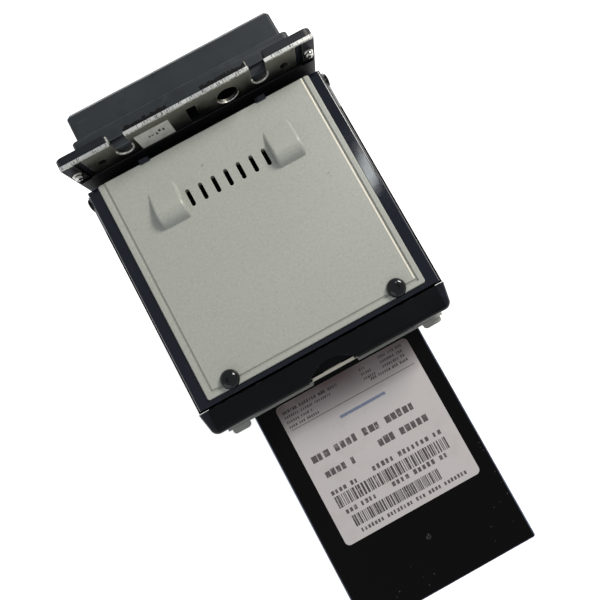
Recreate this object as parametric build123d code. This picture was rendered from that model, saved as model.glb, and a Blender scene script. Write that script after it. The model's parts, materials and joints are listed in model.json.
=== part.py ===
from build123d import *
import math
import os

# A bill validator with a lockable note cassette. Millimetres.
# +X is to the right seen from the bezel, +Y runs from the bezel to the rear and +Z is up.
# The origin is the bottom centre of the overall box. Notes go in at the bezel, run rearward
# through the head, turn down over the rear shaft and are pushed rearward into the cassette.

# ---- driving dimensions ----
FRONT_Y = -152.0  # tip of the bezel's lower lip
LID_TOP = 262.0
PATH_Z = 240.0  # upper face of the lower note guide
PATH_GAP = 1.5
BODY_HALF = 64.0  # inside of the chassis side plates
SHEET = 1.2  # chassis and cassette sheet steel
HALF_WIDTH = 66.0  # over the rear turn housing
PLATE_FRONT = -118.4
PLATE_BACK = -116.8
CHASSIS_REAR = 21.5
HEAD_FRONT = -110.0
HEAD_REAR = 7.2
LID_HALF = 57.1
LID_REAR = 4.7
RAIL_HALF = 63.5
RAIL_INNER = 57.4
RAIL_TOP = 260.5
LID_UNDER = 258.5
SCREW_X = 43.6  # the lid screws
HINGE_Y, HINGE_Z = -106.0, 255.0
CASSETTE_HALF = 50.0
CASSETTE_FRONT, CASSETTE_REAR = 18.5, 146.5
CASSETTE_BOTTOM, CASSETTE_TOP = 5.0, 224.0
FLOOR = 2.0  # thickness of the base tray
BOLT_HALF = 48.3  # half the distance between the mounting holes across
BOLT_LOW, BOLT_HIGH = 196.7, 266.7
BOLT_R = 2.25
BEZEL_SCREW = (58.5, 215.0)
EAR_SCREW = (61.2, 267.0)

# feed drive: shaft centres as (y, z)
FRONT_SHAFT = (-86.0, 231.5)
REAR_SHAFT = (1.5, 228.5)
SHAFT_R = 3.0
FRONT_ROLLER_R, REAR_ROLLER_R = 9.0, 12.0
FRONT_PULLEY_R, REAR_PULLEY_R = 6.0, 8.0
FEED_MODULE = 0.7
FEED_TEETH, IDLER_TEETH, MOTOR_TEETH = 22, 30, 15
MESH_ANGLE = -60.0  # direction from each feed gear to the next, degrees from +Y
FRONT_PINCH_R, REAR_PINCH_R = 7.5, 5.0
ROLLER_X = (25.0, 35.0)
TURN_R = 13.6  # outer guide round the rear shaft

# stacker drive
STACKER_SHAFT = (-30.0, 130.0)
RACK_MODULE, RACK_TEETH = 1.0, 18
STACKER_TEETH = 40
RACK_X = (17.3, 22.7)
PUSHER_REST = 10.4  # front face of the pusher at rest
BUSH_R = 5.0
RUN = 0.05  # radial running clearance

# cassette details
DOOR_Y = (26.0, 140.0)
DOOR_Z = (20.0, 210.0)
DOOR_AXIS = (52.6, 25.3)
LOCK = (34.0, 150.0)
HANDLE_AXIS = (149.3, 119.0)


def box(x, y, z):
    """A block between pairs of coordinates."""
    size = (x[1] - x[0], y[1] - y[0], z[1] - z[0])
    centre = ((x[0] + x[1]) / 2, (y[0] + y[1]) / 2, (z[0] + z[1]) / 2)
    return Pos(*centre) * Box(*size)


def wide(half, y, z):
    """A block that is centred across the width."""
    return box((-half, half), y, z)


def rod_x(x, y, z, r):
    return Pos((x[0] + x[1]) / 2, y, z) * Rot(0, 90, 0) * Cylinder(r, x[1] - x[0])


def rod_y(x, y, z, r):
    return Pos(x, (y[0] + y[1]) / 2, z) * Rot(90, 0, 0) * Cylinder(r, y[1] - y[0])


def rod_z(x, y, z, r):
    return Pos(x, y, (z[0] + z[1]) / 2) * Cylinder(r, z[1] - z[0])


def prism_x(outline, x):
    """Extrudes a (y, z) outline from x[0] to x[1]."""
    plane = Plane(origin=(x[0], 0, 0), x_dir=(0, 1, 0), z_dir=(1, 0, 0))
    face = outline if isinstance(outline, (Sketch, Face)) else Polygon(*outline, align=None)
    return extrude(plane * face, amount=x[1] - x[0], dir=(1, 0, 0))


def both_sides(shape):
    """The shape and its mirror image across the width."""
    return [shape, shape.mirror(Plane.YZ)]


def fuse(shapes):
    result = shapes[0]
    for shape in shapes[1:]:
        result += shape
    return result


def cut(shape, tools):
    for tool in tools:
        shape -= tool
    return shape


def save(name, *shapes):
    """Writes one sub-part: its shapes stay separate solids."""
    solids = [solid for shape in shapes for solid in shape.solids()]
    whole = solids[0] if len(solids) == 1 else Compound(children=solids)
    export_step(whole, f"parts/{name}.step")


def edges_along(shape, axis):
    return shape.edges().filter_by(axis)


# ---- gears ----

def involute(angle):
    return math.tan(angle) - angle


def gear_face(teeth, module, phase):
    """A spur gear's outline about the origin, with one tooth centred at phase degrees."""
    pressure = math.radians(20)
    pitch_r = teeth * module / 2
    base_r = pitch_r * math.cos(pressure)
    root_r, tip_r = pitch_r - 1.15 * module, pitch_r + 0.85 * module
    half_pitch_angle = math.pi / (2 * teeth) - 0.06 * module / pitch_r
    low_r = max(base_r, root_r)
    points = []
    for tooth in range(teeth):
        middle = math.radians(phase) + 2 * math.pi * tooth / teeth
        flank = []
        for step in range(4):
            r = low_r + (tip_r - low_r) * step / 3
            roll = involute(math.acos(min(1.0, base_r / r)))
            flank.append((r, half_pitch_angle + involute(pressure) - roll))
        rising = [(root_r, flank[0][1])] + flank if low_r > root_r else flank
        points += [(r, middle - a) for r, a in rising]
        points += [(r, middle + a) for r, a in reversed(rising)]
    return Polygon(*[(r * math.cos(a), r * math.sin(a)) for r, a in points], align=None)


def meshing_phase(phase, teeth, direction, other_teeth):
    """The phase of a gear that meshes with one of the given phase, in the given direction."""
    offset = (direction - phase) * teeth / 360.0
    other_offset = 0.5 - offset
    return direction + 180.0 - other_offset * 360.0 / other_teeth


def gear_x(teeth, module, phase, centre, x, bore):
    """A spur gear on an axis along X."""
    gear = prism_x(Pos(*centre) * gear_face(teeth, module, phase), x)
    return gear - rod_x((x[0] - 1, x[1] + 1), *centre, bore)


def beside(centre, direction, distance):
    turn = math.radians(direction)
    return (centre[0] + distance * math.cos(turn), centre[1] + distance * math.sin(turn))


IDLER = beside(FRONT_SHAFT, MESH_ANGLE, FEED_MODULE * (FEED_TEETH + IDLER_TEETH) / 2)
FEED_MOTOR = beside(IDLER, MESH_ANGLE, FEED_MODULE * (IDLER_TEETH + MOTOR_TEETH) / 2)
STACKER_MOTOR = beside(STACKER_SHAFT, -90.0, FEED_MODULE * (STACKER_TEETH + MOTOR_TEETH) / 2)
GEAR_X = (57.5, 61.5)
TIE_RODS = [(-50.0, 216.0), (-98.0, 206.0), (-98.0, 60.0), (-20.0, 24.0)]
BUSHED = [FRONT_SHAFT, REAR_SHAFT, STACKER_SHAFT]


# ---- chassis ----

def make_base_tray():
    tray = wide(BODY_HALF, (PLATE_BACK, CHASSIS_REAR), (0, FLOOR)) + wide(54, (CHASSIS_REAR, 128), (0, FLOOR))
    rails = both_sides(box((51.2, 52.7), (24, 126), (FLOOR - 0.5, 12)))
    holes = [rod_z(x, y, (-1, 5), BOLT_R) for x in (-22, 22) for y in (-90, 110)]
    save("base_tray", cut(fuse([tray] + rails), holes))


def make_side_plates():
    low = box((BODY_HALF, BODY_HALF + SHEET), (PLATE_BACK, CHASSIS_REAR), (0, 236))
    high = box((BODY_HALF, BODY_HALF + SHEET), (-110, 8.2), (235, 256))
    plate = low + high
    across = (BODY_HALF - 1, BODY_HALF + 3)
    holes = [rod_x(across, *centre, BUSH_R) for centre in BUSHED]
    holes.append(rod_x(across, HINGE_Y, HINGE_Z, 2.0))
    for z in (40, 66, 92):
        slot = box(across, (-84, -52), (z - 4, z + 4))
        holes.append(slot + rod_x(across, -84, z, 4) + rod_x(across, -52, z, 4))
    right = cut(plate, holes)
    left = cut(right.mirror(Plane.YZ), [box((-67, -62), (-75.5, -44.5), (159.5, 172.5))])
    save("side_plate_right", right)
    save("side_plate_left", left)


def make_mount_bracket():
    sheet = wide(64.3, (PLATE_FRONT, PLATE_BACK), (180, 278.5))
    thick = (PLATE_FRONT - 1, PLATE_BACK + 1)
    cuts = [wide(46, thick, (233, 247.5))]
    for sign in (-1, 1):
        notch = box((sign * 35.6 - 4, sign * 35.6 + 4), thick, (268, 280))
        cuts += [notch, rod_y(sign * 35.6, thick, 268.5, 4)]
        cuts.append(box((min(sign * 39, sign * 66), max(sign * 39, sign * 66)), thick, (277.3, 280)))
        cuts.append(box((min(sign * 54.8, sign * 58.5), max(sign * 54.8, sign * 58.5)), thick, (259.8, 276.2)))
        cuts += [rod_y(sign * BOLT_HALF, thick, z, BOLT_R) for z in (BOLT_LOW, BOLT_HIGH)]
        cuts += [rod_y(sign * x, thick, z, 1.6) for x, z in (BEZEL_SCREW, EAR_SCREW)]
    cuts.append(rod_y(-18.2, thick, 267.4, 5.5))
    cuts.append(box((-2.4, 2.6), thick, (258, 273)))
    wing = box((62.4, 63.95), (PLATE_BACK - 0.5, -104), (186, 230))
    save("mount_bracket", fuse([cut(sheet, cuts)] + both_sides(wing)))


def bezel_outline():
    top = [(-122.4, 268.4), (-143.6, 267.4), (-147.3, 263), (-148, 252)]
    return [(-122.4, 208)] + top + [(-148, 214), (-143, 208)]


def make_bezel():
    snout = prism_x(bezel_outline(), (-54.3, 54.3))
    ends = snout.faces().filter_by(Axis.X)
    snout = fillet([edge for face in ends for edge in face.edges()], 1.8)
    shoulder = wide(57, (-130, -122.4), (206, 270))
    shoulder = fillet(edges_along(shoulder, Axis.Y), 3.0)
    flange = wide(65.5, (-122.4, PLATE_FRONT), (203, 277))
    flange = fillet(edges_along(flange, Axis.Y), 4.0)
    lip_points = [(-146, 222), (-150.6, 229), (FRONT_Y, 232), (-151.6, 235.2), (-150, 236.4), (-146, 236.8)]
    lip = prism_x(lip_points, (-46.5, 46.5))
    body = snout + shoulder + flange + lip
    mouth_roof = [(-153, 246.8), (-146.5, 245.4), (-118, 243.2)]
    mouth_floor = [(-118, 238.2), (-146.5, 237.0), (-153, 236.8)]
    deep = (-141, PLATE_FRONT + 0.1)
    cuts = [
        prism_x(mouth_roof + mouth_floor, (-44, 44)),
        wide(50, deep, (211, 234)),
        wide(50, (-139, PLATE_FRONT + 0.1), (250.5, 264.5)),
        wide(40.5, (-122.4, PLATE_FRONT + 0.1), (268.5, 278)),
        wide(30.0, (-122.4, PLATE_FRONT + 0.1), (251, 269)),
        wide(44.2, (-149, -146.2), (247.4, 250.6)),
    ]
    for sign in (-1, 1):
        cuts.append(rod_y(sign * BOLT_HALF, (-123, -118), BOLT_HIGH, BOLT_R))
        cuts += [rod_y(sign * x, (-120.5, -118), z, 1.5) for x, z in (BEZEL_SCREW, EAR_SCREW)]
    save("bezel", cut(body, cuts))


def make_bezel_trim():
    save("mouth_light_guide", wide(44, (-148.2, -146.2), (247.5, 250.5)))
    screws = []
    for (x, z), head_r, head_y in ((BEZEL_SCREW, 3.0, -115.2), (EAR_SCREW, 2.6, -114.4)):
        head = rod_y(x, (PLATE_BACK, head_y), z, head_r)
        screws += both_sides(head + rod_y(x, (-120.4, PLATE_BACK), z, 1.5))
    save("bracket_screws", *screws)
    guide = wide(55, (-116.6, -110.5), (PATH_Z + PATH_GAP, 248.5))
    upstand = (-116.6, -116.05)
    save("entry_guide", guide + wide(57.3, upstand, (247, 260.5)) + wide(64.0, upstand, (247, 259.5)))
    save("front_cover", wide(63.9, (PLATE_BACK, -115.6), (FLOOR, 179.8)))


def make_turn_housing():
    front, rear, end_taper = 8.4, 20.6, 2.4
    half = HALF_WIDTH - 0.6
    plan = [(-half, front), (half, front), (half - end_taper, rear), (end_taper - half, rear)]
    bar = Pos(0, 0, 236.2) * extrude(Polygon(*plan, align=None), 260 - 236.2)
    bar = fillet([e for e in edges_along(bar, Axis.Z) if e.center().Y > 20], 4.0)
    top_rear = [e for e in bar.edges() if e.center().Z > 259.9 and e.center().Y > 9]
    bar = fillet(top_rear, 3.2)
    sills = both_sides(box((57.2, 63.9), (6.4, 8.6), (238.6, 241.2)))
    skirt = wide(63.8, (15.1, 18.9), (226, 237))
    recess = rod_z(0, 32.0, (249, 262), 17.6)
    cuts = [
        rod_x((-57, 57), *REAR_SHAFT, TURN_R),
        recess,
        wide(5.3, (8, 21), (244.2, 247.3)),
        wide(13.0, (18.9, 21), (236, 250.5)),
    ]
    cuts += [rod_y(x, (12.8, 21), 241.2, 2.9) for x in (-9, 9)]
    for side in both_sides(box((16, 60), (8, 16.5), (243.5, 256.5))):
        cuts.append(side)
    save("turn_housing", cut(fuse([bar, skirt] + sills), cuts))


def make_rear_cross_member():
    strip = wide(62, (19, 23.1), (225.6, 235.6)) - wide(13.2, (21.6, 24), (225, 236))
    strip += wide(BODY_HALF, (19, 19.8), (225.6, 235.6))
    tab = box((52, 62), (22.5, 26.4), (226, 228))
    corners = [e for e in edges_along(tab, Axis.Z) if e.center().Y > 26]
    save("rear_cross_member", fuse([strip] + both_sides(fillet(corners, 1.8))))


def make_fixings():
    save("tie_rods", *[rod_x((-BODY_HALF, BODY_HALF), *centre, 3.0) for centre in TIE_RODS])
    heads = []
    for centre in TIE_RODS + [(-110, 194), (-110, 224), (0, 100), (0, 180)]:
        heads += both_sides(rod_x((BODY_HALF + SHEET, 66.0), *centre, 2.8))
    save("side_screws", *heads)
    bushes = []
    for centre in BUSHED:
        bush = rod_x((62.8, BODY_HALF), *centre, 6.5) + rod_x((BODY_HALF, BODY_HALF + SHEET), *centre, BUSH_R)
        bushes += both_sides(bush - rod_x((62, 67), *centre, SHAFT_R + RUN))
    save("shaft_bearings", *bushes)
    pin = rod_x((59, BODY_HALF + SHEET), HINGE_Y, HINGE_Z, 2.0)
    pin += rod_x((BODY_HALF + SHEET, 66.0), HINGE_Y, HINGE_Z, 3.4)
    save("hinge_pins", *both_sides(pin))


# ---- note guides ----

def window_blocks(z):
    return [box((x - 4, x + 4), (y - 2, y + 2), z) for x in (-40, -20, 0, 20, 40) for y in (-60, -38)]


def roller_pair(centre, r, gap=0.0):
    x = (ROLLER_X[0] - gap, ROLLER_X[1] + gap)
    return both_sides(rod_x(x, *centre, r))


def make_lower_guide():
    y, z = REAR_SHAFT
    outer, inner = PATH_Z - z, PATH_Z - z - 2.0
    plate = wide(55.8, (PLATE_BACK + 0.4, y), (PATH_Z - 2, PATH_Z))
    shell = rod_x((-55.8, 55.8), y, z, outer) - rod_x((-60, 60), y, z, inner)
    quarter = shell & wide(60, (y, 40), (z, 260))
    tail = wide(55.8, (y + inner, y + outer), (214, z))
    rib = wide(55.8, (-52, -48), (219, PATH_Z - 1))
    cuts = [box(side, (-95.8, -76.2), (237, 241)) for side in ((24, 36), (-36, -24))]
    cuts += [box(side, (-11.6, 14), (213, 241)) for side in ((24, 36), (-36, -24))]
    cuts += window_blocks((230, 241)) + [box((43.5, 48.5), (-53, -47), (225, 232))]
    save("lower_guide", cut(fuse([plate, quarter, tail, rib]), cuts))
    save("lower_windows", *window_blocks((231.6, PATH_Z - 0.1)))
    save("lower_sensor_board", box((-48, 48), (-66, -53), (230, 231.6)) + box((-48, 48), (-47, -32), (230, 231.6)) +
         box((44, 48), (-54, -46), (226, 231.6)))


def make_feed_drive():
    x_span = (-BODY_HALF - SHEET, BODY_HALF + SHEET)
    pulley_x = (-61.0, -57.0)
    for name, centre, pulley_r in (("front", FRONT_SHAFT, FRONT_PULLEY_R), ("rear", REAR_SHAFT, REAR_PULLEY_R)):
        shaft = rod_x(x_span, *centre, SHAFT_R) + rod_x(pulley_x, *centre, pulley_r)
        save(f"{name}_drive_shaft", shaft)
        roller_r = FRONT_ROLLER_R if name == "front" else REAR_ROLLER_R
        rollers = [r - rod_x((-40, 40), *centre, SHAFT_R) for r in roller_pair(centre, roller_r)]
        save(f"{name}_drive_rollers", *rollers)
    gap, thick = 0.3, 1.2
    loops = []
    for extra in (gap + thick, gap):
        ends = [Pos(*FRONT_SHAFT) * Circle(FRONT_PULLEY_R + extra), Pos(*REAR_SHAFT) * Circle(REAR_PULLEY_R + extra)]
        loops.append(make_hull(ends[0].edges() + ends[1].edges()))
    save("transport_belt", prism_x(loops[0] - loops[1], (-60.8, -57.2)))
    idler_phase = meshing_phase(0.0, FEED_TEETH, MESH_ANGLE, IDLER_TEETH)
    motor_phase = meshing_phase(idler_phase, IDLER_TEETH, MESH_ANGLE, MOTOR_TEETH)
    save("front_gear", gear_x(FEED_TEETH, FEED_MODULE, 0.0, FRONT_SHAFT, GEAR_X, SHAFT_R))
    save("idler_gear", gear_x(IDLER_TEETH, FEED_MODULE, idler_phase, IDLER, GEAR_X, 2.0 + RUN))
    pinion = gear_x(MOTOR_TEETH, FEED_MODULE, motor_phase, FEED_MOTOR, GEAR_X, 1.0)
    save("motor_pinion", pinion + rod_x((52.2, 61.5), *FEED_MOTOR, 1.5))


def motor_can(centre, x):
    can = fillet(rod_x(x, *centre, 12.5).edges(), 1.5)
    return can + rod_x((x[1], x[1] + 1.5), *centre, 4.0) + rod_x((x[0] - 3, x[0]), *centre, 5.0)


def make_motors():
    plate = box((50, 51.5), (-93, -55), (186, 234)) - rod_x((49, 53), *FRONT_SHAFT, 3.6)
    plate -= rod_x((49, 53), *FEED_MOTOR, 4.0)
    posts = [rod_x((51.5, BODY_HALF), y, z, 2.5) for y, z in ((-90, 190), (-58, 190), (-58, 222.5))]
    axle = rod_x((51.5, BODY_HALF), *IDLER, 2.0)
    save("gear_plate", fuse([plate, axle] + posts))
    save("feed_motor", motor_can(FEED_MOTOR, (8, 50)))
    y, z = STACKER_MOTOR
    bracket = box((49, 50.5), (y - 18, y + 18), (z - 18, z + 12)) - rod_x((48, 52), y, z, 4.0)
    feet = [rod_x((50.5, BODY_HALF), y + side, z - 13, 2.5) for side in (-14, 14)]
    save("stacker_motor_plate", fuse([bracket] + feet))
    save("stacker_motor", motor_can(STACKER_MOTOR, (25, 49)))


# ---- stacker ----

def make_stacker():
    y, z = STACKER_SHAFT
    pitch_r = RACK_MODULE * RACK_TEETH / 2
    shaft = rod_x((-BODY_HALF - SHEET, BODY_HALF + SHEET), y, z, SHAFT_R)
    pinions = both_sides(prism_x(Pos(y, z) * gear_face(RACK_TEETH, RACK_MODULE, 90.0), (17.8, 22.2)))
    save("stacker_shaft", fuse([shaft] + pinions))
    save("stacker_gear", gear_x(STACKER_TEETH, FEED_MODULE, 0.0, (y, z), GEAR_X, SHAFT_R))
    phase = meshing_phase(0.0, STACKER_TEETH, -90.0, MOTOR_TEETH)
    pinion = gear_x(MOTOR_TEETH, FEED_MODULE, phase, STACKER_MOTOR, GEAR_X, 1.0)
    save("stacker_motor_pinion", pinion + rod_x((51.0, 61.5), *STACKER_MOTOR, 1.5))

    pitch = math.pi * RACK_MODULE
    line = z + pitch_r
    slope = math.tan(math.radians(20))
    low, high = -0.85 * RACK_MODULE, 1.15 * RACK_MODULE
    half = pitch / 4 - 0.06
    points = [(-72.0, line + 6), (-72.0, line + high)]
    for k in range(-13, 12):
        middle = y + (k + 0.5) * pitch
        points += [(middle - half - high * slope, line + high), (middle - half - low * slope, line + low)]
        points += [(middle + half + low * slope, line + low), (middle + half + high * slope, line + high)]
    points += [(8.0, line + high), (8.0, line + 6)]
    save("pusher_racks", *both_sides(prism_x(points, RACK_X)))

    plate = fillet(edges_along(wide(31, (8.0, PUSHER_REST), (60, 202)), Axis.Y), 4.0)
    ribs = [wide(26, (5.5, 8.0), (level, level + 3)) for level in (80, 110, 160, 180)]
    save("pusher_plate", fuse([plate] + ribs))

    wall = wide(63.9, (8.0, 10.5), (3, 212)) - wide(33, (7, 12), (56, 206))
    flanges = both_sides(box((62.4, 63.9), (-8, 8.2), (3, 212)))
    guide = wide(63, (-8, -4), (132, 152))
    slots = both_sides(box((RACK_X[0] - 0.4, RACK_X[1] + 0.4), (-9, -3), (line + low - 0.4, line + 6.4)))
    save("stacker_frame", fuse([wall, cut(guide, slots)] + flanges))


def make_electronics():
    board = box((-60, -58.4), (-93, -20), (146, 211))
    chips = [box((-58.4, -55.9), (-88, -70), (184, 202)), box((-58.4, -56.4), (-62, -50), (188, 198))]
    chips += [rod_x((-58.4, -48), y, 155, 4.0) for y in (-86, -74)]
    save("main_board", fuse([board] + chips))
    shell = box((-65.9, -60), (-75, -45), (160, 172)) - box((-66, -61.5), (-73.8, -46.2), (161.2, 170.8))
    pins = [box((-64.8, -61.5), (-71 + 3 * k, -70.3 + 3 * k), (level, level + 0.7)) for k in range(8)
            for level in (163.5, 167.8)]
    save("harness_connector", shell)
    save("harness_pins", *pins)


# ---- upper head ----

def make_lid():
    lid = wide(LID_HALF, (HEAD_FRONT, LID_REAR), (LID_UNDER, LID_TOP))
    lid = fillet(edges_along(lid, Axis.Z), 1.2)
    lid = chamfer(lid.faces().sort_by(Axis.Z)[-1].edges(), 0.4)
    inset, groove, slope = 2.5, 0.9, 0.7
    half, rear = LID_HALF - inset, LID_REAR - 2.2
    ring = wide(half, (HEAD_FRONT - 2, rear), (LID_TOP - 0.8, LID_TOP))
    panel = wide(half - groove, (HEAD_FRONT - 3, rear - groove), (LID_TOP - 2, LID_TOP))
    ring -= chamfer(panel.faces().sort_by(Axis.Z)[-1].edges(), slope)
    slots = []
    for k in range(-3, 4):
        slot = Pos(6.8 * k, -83.7, LID_TOP - 2) * extrude(SlotOverall(8.9, 2.2, rotation=90), 6, both=True)
        slots.append(slot)
    ramps = both_sides(make_lid_ramp((23.6, 38.2)))
    holes = both_sides(rod_z(SCREW_X, 0.6, (250, 270), 2.1))
    save("lid_panel", cut(fuse([lid] + ramps), [ring] + slots + holes))
    screws = []
    for head in both_sides(rod_z(SCREW_X, 0.6, (LID_TOP, LID_TOP + 3.2), 4.6)):
        top = head.faces().sort_by(Axis.Z)[-1]
        head = fillet(top.edges(), 2.6)
        x = head.center().X
        socket = Pos(x, 0.6, LID_TOP + 1.6) * extrude(RegularPolygon(1.5, 6), 3)
        screws.append(head + rod_z(x, 0.6, (251.5, LID_TOP), 2.0) - socket)
    save("lid_screws", *screws)


def make_lid_ramp(x):
    """A rise in the lid over a pinch roller: a long slope up, a round crest and a short slope down."""
    front, crest, rear = -97.5, -79.3, -74.7
    root, sunk = LID_TOP - 3.4, LID_TOP - 1.0
    outline = [(front, root), (front, sunk), (crest, LID_TOP + 6.6), (rear, sunk), (rear, root)]
    ramp = prism_x(outline, x)
    ramp = fillet(edges_along(ramp, Axis.X).sort_by(Axis.Z)[-1], 7.0)
    rims = [e for side in x for e in ramp.edges() if abs(e.center().X - side) < 0.1 and e.center().Z > LID_TOP]
    return fillet(rims, 1.5)


def make_head_frame():
    rail = box((RAIL_INNER, RAIL_HALF), (HEAD_FRONT, HEAD_REAR), (PATH_Z + PATH_GAP, RAIL_TOP))
    rail = fillet([e for e in edges_along(rail, Axis.Y) if e.center().Z > 260 and e.center().X > 60], 1.5)
    parts = both_sides(rail)
    parts.append(wide(58, (HEAD_FRONT, -107), (243.5, LID_UNDER)))
    parts.append(wide(58, (3.9, HEAD_REAR), (243.5, LID_UNDER)))
    parts.append(wide(58, (LID_REAR + 0.2, HEAD_REAR), (LID_UNDER, RAIL_TOP)))
    parts += both_sides(rod_z(SCREW_X, 0.6, (248.5, LID_UNDER), 4.0))
    tab_x, tab_front = (28.8, 34), -111.6
    parts += both_sides(box(tab_x, (tab_front, HEAD_FRONT - 0.05), (256, LID_TOP + 0.6)))
    parts += both_sides(box(tab_x, (tab_front, -109.2), (LID_TOP, LID_TOP + 0.6)))
    parts += both_sides(box(tab_x, (tab_front, -109.5), (256, LID_UNDER)))
    cuts = both_sides(rod_z(SCREW_X, 0.6, (251, 259), 2.0))
    cuts += both_sides(rod_x((57, 64), HINGE_Y, HINGE_Z, 2.0 + RUN))
    save("head_frame", cut(fuse(parts), cuts))


def make_upper_guide():
    base = PATH_Z + PATH_GAP
    plate = wide(57.2, (HEAD_FRONT + 0.1, 3.8), (base, 243.5))
    front_axle = (FRONT_SHAFT[0], FRONT_SHAFT[1] + FRONT_ROLLER_R + 0.4 + FRONT_PINCH_R)
    rear_axle = (-3.0, 245.31)
    lugs, holes, slots = [], [], []
    for centre, half in ((front_axle, 9.0), (rear_axle, 6.0)):
        for side in both_sides(box((36.6, 38.6), (centre[0] - 4, centre[0] + 4), (243, centre[1] + 4))):
            lugs.append(side)
        holes.append(rod_x((-60, 60), *centre, 2.0))
        slots += [box(x, (centre[0] - half, min(centre[0] + half, 3.0)), (240, 244)) for x in ((24, 36), (-36, -24))]
    posts = [rod_z(x, y, (243, 247), 2.5) for x in (-48, 48) for y in (-66, -20)]
    guide = cut(fuse([plate] + lugs + posts), holes + slots + window_blocks((240, 245)))
    save("upper_guide", guide)
    save("upper_windows", *window_blocks((base + 0.1, 247)))
    board = box((-52, 52), (-70, -16), (247, 248.6))
    board += box((-20, 4), (-52, -32), (248.6, 250.6)) + box((24, 40), (-30, -20), (248.6, 254))
    save("upper_sensor_board", board)
    axles = [rod_x((-38.6, 38.6), *front_axle, 2.0), rod_x((-38.6, 38.6), *rear_axle, 2.0)]
    save("pinch_axles", *axles)
    for name, centre, r in (("front", front_axle, FRONT_PINCH_R), ("rear", rear_axle, REAR_PINCH_R)):
        rollers = [roller - rod_x((-50, 50), *centre, 2.0 + RUN) for roller in roller_pair(centre, r)]
        save(f"{name}_pinch_rollers", *rollers)


def make_latch():
    face = wide(12.5, (19.2, 20.6), (238, 250.2))
    face = fillet([e for e in edges_along(face, Axis.Y)], 1.5)
    stem = wide(5.0, (8.5, 19.3), (244.5, 247.0))
    save("latch_plate", face + stem)
    springs = [rod_y(x, (13, 19.2), 241.2, 2.5) - rod_y(x, (12, 20), 241.2, 1.9) for x in (-9, 9)]
    save("latch_springs", *springs)


# ---- cassette ----

def make_cassette_shell():
    half, front, rear = CASSETTE_HALF, CASSETTE_FRONT, CASSETTE_REAR
    outer = wide(half, (front, rear), (CASSETTE_BOTTOM, CASSETTE_TOP))
    outer = fillet(edges_along(outer, Axis.Z), 1.5)
    outer = fillet(outer.faces().sort_by(Axis.Z)[-1].edges(), 1.4)
    inner = wide(half - SHEET, (front + SHEET, rear - SHEET), (CASSETTE_BOTTOM + SHEET, CASSETTE_TOP - SHEET))
    window = wide(34, (front - 1, front + 2), (50, 208))
    doorway = box((half - 2, half + 1), DOOR_Y, DOOR_Z)
    x, y = DOOR_AXIS
    knuckles = []
    for low, high in ((40, 50), (70, 80), (150, 160), (180, 190)):
        web = box((half - 0.5, x), (y - 2.2, y), (low, high))
        knuckles.append(web + rod_z(x, y, (low, high), 2.2))
    bores = [rod_z(x, y, (39, 191), 1.2)]
    runners = both_sides(box((32, 38), (front + 1, rear - 1), (FLOOR + RUN, CASSETTE_BOTTOM)))
    lock_hole = rod_y(LOCK[0], (rear - 2, rear + 1), LOCK[1], 9.5)
    shell = cut(fuse([outer] + knuckles + runners), [inner, window, doorway, lock_hole] + bores)
    save("cassette_shell", shell)


def make_side_door():
    half = CASSETTE_HALF
    gap = 0.4
    y = (DOOR_Y[0] + gap, DOOR_Y[1] - gap)
    door = box((half - SHEET, half), y, (DOOR_Z[0] + gap, DOOR_Z[1] - gap))
    x_axis, y_axis = DOOR_AXIS
    parts = [door]
    for low, high in ((50.2, 69.8), (160.2, 179.8)):
        parts.append(box((half + RUN, x_axis), (y_axis, y_axis + 2.2), (low, high)))
        parts.append(box((half - 0.5, half + 0.1), (y[0], y_axis + 2.2), (low, high)))
        parts.append(rod_z(x_axis, y_axis, (low, high), 2.2))
    keeper_y = (126.5, 131.5)
    parts.append(box((27.9, half - 1), keeper_y, (164.2, 165.7)))
    parts.append(box((27.9, 29.4), keeper_y, (157, 165.7)))
    save("side_door", fuse(parts) - rod_z(x_axis, y_axis, (30, 200), 1.2 + RUN))
    save("door_hinge_pins", *[rod_z(x_axis, y_axis, z, 1.2) for z in ((40, 80), (150, 190))])


def make_cassette_inside():
    plate = fillet(edges_along(wide(44, (20.5, 22.5), (14, 214)), Axis.Y), 3.0)
    ribs = [wide(40, (22.5, 25), (z, z + 2)) for z in (40, 115, 190)]
    ribs += [box((x, x + 2), (22.5, 25), (40, 192)) for x in (-31, 29)]
    save("pressure_plate", fuse([plate] + ribs))
    back = CASSETTE_REAR - SHEET
    springs = [rod_y(0, (22.5, back), z, 9) - rod_y(0, (20, back + 2), z, 8) for z in (80, 150)]
    save("pressure_springs", *springs)


def make_lock():
    x, z = LOCK
    body = rod_y(x, (133, CASSETTE_REAR), z, 9.5) + rod_y(x, (CASSETTE_REAR, 149), z, 11)
    save("lock_body", body - rod_y(x, (132, 150), z, 5.5 + RUN))
    plug = rod_y(x, (127.9, 149.6), z, 5.5) - box((x - 0.7, x + 0.7), (143, 150), (z - 3.5, z + 3.5))
    tongue = box((x - 4, x + 13), (127.9, 129.9), (z - 4, z + 4))
    save("lock_plug", plug + tongue)


def make_handle():
    y, z = HANDLE_AXIS
    r, leg, drop = 2.0, 22.0, 29.0
    brackets = []
    for bracket in both_sides(box((24.4, 29.4), (CASSETTE_REAR, 152), (z - 5, z + 5))):
        bracket = fillet([e for e in edges_along(bracket, Axis.X) if e.center().Y > 150], 2.0)
        brackets.append(bracket - rod_x((-40, 40), y, z, r + RUN))
    save("handle_brackets", *brackets)
    parts = [rod_x((-leg, leg), y, z - drop, r)]
    parts += both_sides(rod_z(leg, y, (z - drop, z), r))
    parts += both_sides(rod_x((leg, 29.0), y, z, r))
    parts += [Pos(x, y, level) * Sphere(r) for x in (-leg, leg) for level in (z - drop, z)]
    save("carry_handle", fuse(parts))


def make_label():
    label = Pos(-1.4, 64.8, CASSETTE_TOP) * extrude(RectangleRounded(79.6, 80.0, 2.6), 0.2)
    save("cassette_label", label)


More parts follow.
